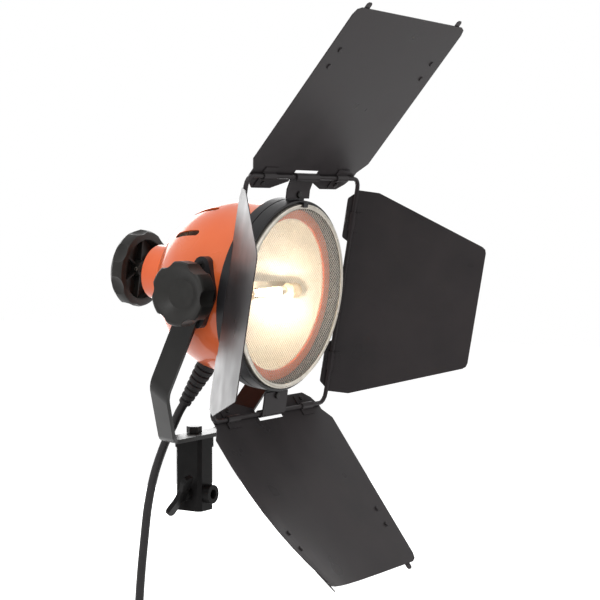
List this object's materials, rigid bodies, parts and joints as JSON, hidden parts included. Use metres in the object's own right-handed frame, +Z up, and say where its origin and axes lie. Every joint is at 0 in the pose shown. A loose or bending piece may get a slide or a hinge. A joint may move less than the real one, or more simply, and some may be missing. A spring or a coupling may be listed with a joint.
{
  "type": "open-face light",
  "caption": "Orange open-face stage light on a black yoke with a rotating four-leaf barndoor, focus knob, wire guard, spigot socket and mains lead.",
  "frame": {"origin": "centre of the spigot socket's mouth", "axes": "+Z up along the socket's bore, the lamp looks towards -Y, the tilt knob is on -X"},
  "size_m": [0.4266, 0.3712, 0.8308],
  "materials": {
    "black_paint": "satin",
    "cast_black": "satin",
    "ceramic": "matte",
    "cord_rubber": "matte",
    "dark_screw": "satin",
    "knob_plastic": "matte",
    "leaf_paint": "satin",
    "orange_paint": "gloss",
    "pin_brass": "satin",
    "plug_rubber": "satin",
    "quartz": "gloss",
    "reflector_metal": "satin",
    "tie_rubber": "matte",
    "yoke_paint": "satin",
    "zinc_steel": "satin"
  },
  "bodies": {
    "yoke": {"yoke_bracket": "yoke_paint", "spigot_socket": "cast_black", "socket_bolt": "dark_screw", "mains_lead": "cord_rubber", "mains_coil": "cord_rubber", "coil_tie": "tie_rubber", "plug_body": "plug_rubber", "plug_pin_1": "pin_brass", "plug_pin_2": "pin_brass"},
    "wing": {"wing_screw": "cast_black"},
    "tilt_knob_body": {"tilt_knob": "knob_plastic"},
    "focus": {"focus_knob": "knob_plastic", "focus_shaft": "zinc_steel"},
    "carriage": {"lamp_carriage": "zinc_steel", "lamp_holder_near": "ceramic", "lamp_holder_far": "ceramic", "lamp": "quartz"},
    "barndoor": {"barndoor_ring": "black_paint", "bracket_top": "black_paint", "bracket_bottom": "black_paint", "bracket_screw_top": "dark_screw", "bracket_screw_bottom": "dark_screw", "door_frame": "leaf_paint"},
    "leaf_top_body": {"leaf_top": "leaf_paint", "gel_clip_top_1": "zinc_steel", "gel_clip_top_2": "zinc_steel", "strap_top_1": "leaf_paint", "strap_top_2": "leaf_paint"},
    "leaf_bottom_body": {"leaf_bottom": "leaf_paint", "gel_clip_bottom_1": "zinc_steel", "gel_clip_bottom_2": "zinc_steel", "strap_bottom_1": "leaf_paint", "strap_bottom_2": "leaf_paint"},
    "leaf_near_body": {"leaf_near": "leaf_paint", "strap_near_1": "leaf_paint", "strap_near_2": "leaf_paint"},
    "leaf_far_body": {"leaf_far": "leaf_paint", "strap_far_1": "leaf_paint", "strap_far_2": "leaf_paint"},
    "head": {"front_rim": "black_paint", "guard_clip": "black_paint", "guard_ring": "zinc_steel", "heat_baffle": "zinc_steel", "housing_bell": "orange_paint", "pivot_nut": "zinc_steel", "rear_neck": "orange_paint", "reflector": "reflector_metal", "side_plate_far": "black_paint", "side_plate_near": "black_paint", "side_screw_far_lower": "dark_screw", "side_screw_far_upper": "dark_screw", "side_screw_near_lower": "dark_screw", "side_screw_near_upper": "dark_screw", "strain_relief": "cord_rubber", "terminal_block": "ceramic", "tilt_bolt_far": "zinc_steel", "tilt_bolt_near": "zinc_steel", "wire_guard": "zinc_steel"}
  },
  "joints": [
    {"name": "head_tilt", "type": "hinge", "parent": "yoke", "child": "head", "pos_m": [0, -0.0725, 0.236], "axis": [-1, 0, 0], "range_deg": [-25, 40]},
    {"name": "tilt_knob_turn", "type": "hinge", "parent": "head", "child": "tilt_knob_body", "pos_m": [0, -0.0725, 0.236], "axis": [-1, 0, 0], "range_deg": [-180, 180]},
    {"name": "wing_screw_turn", "type": "hinge", "parent": "yoke", "child": "wing", "pos_m": [0, 0, 0.018], "axis": [-1, 0, 0], "range_deg": [-180, 180]},
    {"name": "focus_turn", "type": "hinge", "parent": "head", "child": "focus", "pos_m": [0, -0.0725, 0.236], "axis": [0, -0.9917, -0.1288], "range_deg": [-332, 207]},
    {"name": "lamp_slide", "type": "slide", "parent": "head", "child": "carriage", "axis": [0, -0.9917, -0.1288], "range_m": [-0.01625, 0.0102]},
    {"name": "barndoor_turn", "type": "hinge", "parent": "head", "child": "barndoor", "pos_m": [0, -0.0725, 0.236], "axis": [0, -0.9917, -0.1288], "range_deg": [-45, 45]},
    {"name": "leaf_top_hinge", "type": "hinge", "parent": "barndoor", "child": "leaf_top_body", "pos_m": [0, -0.13951, 0.35019], "axis": [-1, 0, 0], "range_deg": [-85, 50]},
    {"name": "leaf_bottom_hinge", "type": "hinge", "parent": "barndoor", "child": "leaf_bottom_body", "pos_m": [0, -0.09672, 0.10997], "axis": [1, 0, 0], "range_deg": [-69, 66]},
    {"name": "leaf_near_hinge", "type": "hinge", "parent": "barndoor", "child": "leaf_near_body", "pos_m": [-0.106, -0.11812, 0.23008], "axis": [0, 0.1754, -0.9845], "range_deg": [-88, 62]},
    {"name": "leaf_far_hinge", "type": "hinge", "parent": "barndoor", "child": "leaf_far_body", "pos_m": [0.106, -0.11812, 0.23008], "axis": [0, -0.1754, 0.9845], "range_deg": [-80, 70]}
  ],
  "couplings": [
    {"joint": "lamp_slide", "follows": "focus_turn", "m_per_rad": 0.002758}
  ]
}
